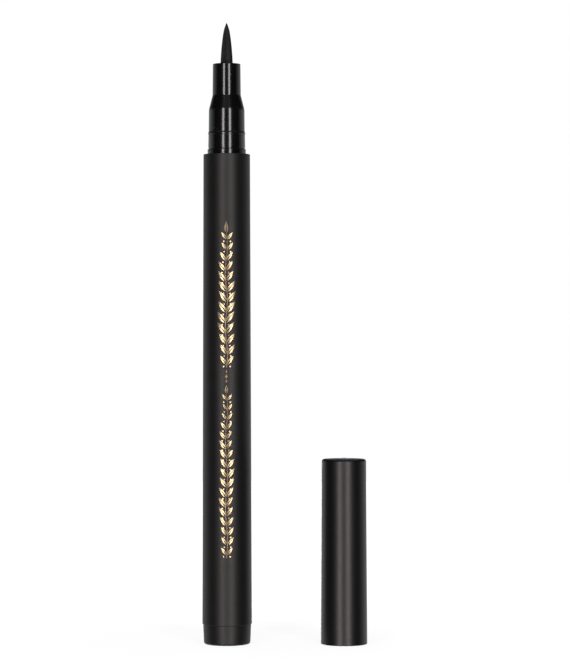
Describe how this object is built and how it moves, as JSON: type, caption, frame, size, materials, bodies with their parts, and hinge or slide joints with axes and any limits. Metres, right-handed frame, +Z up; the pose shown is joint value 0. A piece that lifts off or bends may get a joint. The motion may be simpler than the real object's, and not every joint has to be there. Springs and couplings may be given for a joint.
{
  "type": "liquid eyeliner pen",
  "caption": "Slim tapered liquid eyeliner pen with a pointed brush tip and a stepped gloss nose, standing on its end plug, with its push-on cap off beside it.",
  "frame": {"origin": "middle of the pen's base, on the surface that the pen and its cap stand on", "axes": "+Z up the pen from its end plug to its brush, +X from the pen to the cap that stands beside it, -Y towards the viewer of the picture"},
  "size_m": [0.0338, 0.0102, 0.1272],
  "materials": {
    "satin_black": "satin, finely sprayed",
    "cap_black": "satin, finely sprayed",
    "gloss_black": "polished moulding",
    "brush_fibre": "fine tapered filaments, wet",
    "natural_plastic": "unpigmented moulding",
    "white_plastic": "plain moulding",
    "feed_fibre": "bundled fibre, soaked",
    "soft_stopper": "soft moulding",
    "steel": "bright steel"
  },
  "bodies": {
    "pen": {"barrel": "satin_black", "end_plug": "satin_black", "tank_stopper": "soft_stopper", "front_section": "gloss_black", "brush_collar": "natural_plastic", "brush_tip": "brush_fibre", "feed_core": "feed_fibre", "collector": "natural_plastic"},
    "ball": {"mixing_ball": "steel"},
    "cap": {"cap_shell": "cap_black", "cap_spring": "steel"},
    "seal": {"inner_cap": "white_plastic"}
  },
  "joints": [
    {"name": "cap_lift", "type": "slide", "parent": "pen", "child": "cap", "axis": [0, 0, 1], "range_m": [0, 0.13]},
    {"name": "inner_cap_travel", "type": "slide", "parent": "cap", "child": "seal", "axis": [0, 0, 1], "range_m": [0, 0.0015], "stiffness_N_per_m": 200, "springref_m": -0.004, "deforming": ["cap_spring"]},
    {"name": "ball_travel", "type": "slide", "parent": "pen", "child": "ball", "axis": [0, 0, 1], "range_m": [0, 0.0382]}
  ]
}
